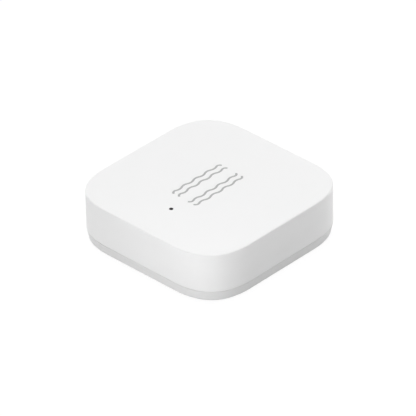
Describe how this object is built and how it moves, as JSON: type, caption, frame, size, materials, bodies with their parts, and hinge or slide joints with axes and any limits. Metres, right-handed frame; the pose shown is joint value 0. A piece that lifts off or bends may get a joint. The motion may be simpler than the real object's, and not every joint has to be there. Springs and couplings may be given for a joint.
{
  "type": "vibration sensor tag",
  "caption": "Small rounded-square stick-on vibration sensor with wavy marks, a reset pinhole, a snap-off base cover and a replaceable coin cell.",
  "frame": {"origin": "centre of the adhesive pad's face, where the tag sticks to a surface", "axes": "+Z away from that surface and out of the marked top face, -Y from the middle towards the pinhole, +X to the right when the top is seen with the pinhole nearest"},
  "size_m": [0.026, 0.026, 0.0073],
  "materials": {
    "case_plastic": "fine satin moulded white",
    "base_plastic": "fine satin moulded light grey",
    "mark_ink": "matt grey printed ink",
    "pad_foam": "soft closed-cell foam tape",
    "board_laminate": "green solder mask over glass laminate",
    "copper_trace": "copper under thin gold",
    "cradle_plastic": "glass-filled black moulding",
    "contact_metal": "nickel-plated spring strip",
    "cell_steel": "bright drawn stainless steel",
    "seal_plastic": "dark moulded gasket",
    "cathode_mix": "pressed black powder",
    "separator_felt": "thin unwoven sheet",
    "lithium_metal": "dull soft metal",
    "switch_plastic": "black heat-proof moulding",
    "stem_plastic": "natural moulded plastic",
    "switch_metal": "thin stamped steel",
    "led_white": "white moulded body",
    "led_resin": "clear tinted resin",
    "chip_epoxy": "black moulding compound",
    "crystal_metal": "drawn metal lid",
    "capacitor_ceramic": "fired brown ceramic with tinned ends",
    "resistor_ceramic": "black coated ceramic with tinned ends",
    "inductor_ferrite": "grey ferrite with tinned ends"
  },
  "bodies": {
    "base": {"base_cover": "base_plastic", "adhesive_pad": "pad_foam"},
    "case": {"top_shell": "case_plastic", "wave_marks": "mark_ink", "circuit_board": "board_laminate", "board_antenna": "copper_trace", "battery_cradle": "cradle_plastic", "positive_contact": "contact_metal", "negative_contact": "contact_metal", "switch_base": "switch_plastic", "switch_terminals": "switch_metal", "switch_dome": "switch_metal", "switch_frame": "switch_metal", "led_base": "led_white", "led_lens": "led_resin", "radio_chip": "chip_epoxy", "accelerometer_chip": "chip_epoxy", "memory_chip": "chip_epoxy", "main_crystal": "crystal_metal", "clock_crystal": "crystal_metal", "capacitors": "capacitor_ceramic", "reservoir_capacitors": "capacitor_ceramic", "resistors": "resistor_ceramic", "inductors": "inductor_ferrite"},
    "coin_cell": {"cell_can": "cell_steel", "cell_cap": "cell_steel", "cell_seal": "seal_plastic", "cell_cathode": "cathode_mix", "cell_separator": "separator_felt", "cell_lithium": "lithium_metal"},
    "reset_button": {"switch_plunger": "stem_plastic"}
  },
  "joints": [
    {"name": "case_lift", "type": "slide", "parent": "base", "child": "case", "axis": [0, 0, 1], "range_m": [0, 0.012]},
    {"name": "cell_release", "type": "slide", "parent": "case", "child": "coin_cell", "axis": [0, 0, -1], "range_m": [0, 0.006]},
    {"name": "reset_press", "type": "slide", "parent": "case", "child": "reset_button", "axis": [0, 0, -1], "range_m": [0, 0.00015], "stiffness_N_per_m": 6000, "deforming": ["switch_dome"]}
  ],
  "couplings": [
    {"joint": "cell_release", "follows": "case_lift", "ratio": 0.5}
  ]
}
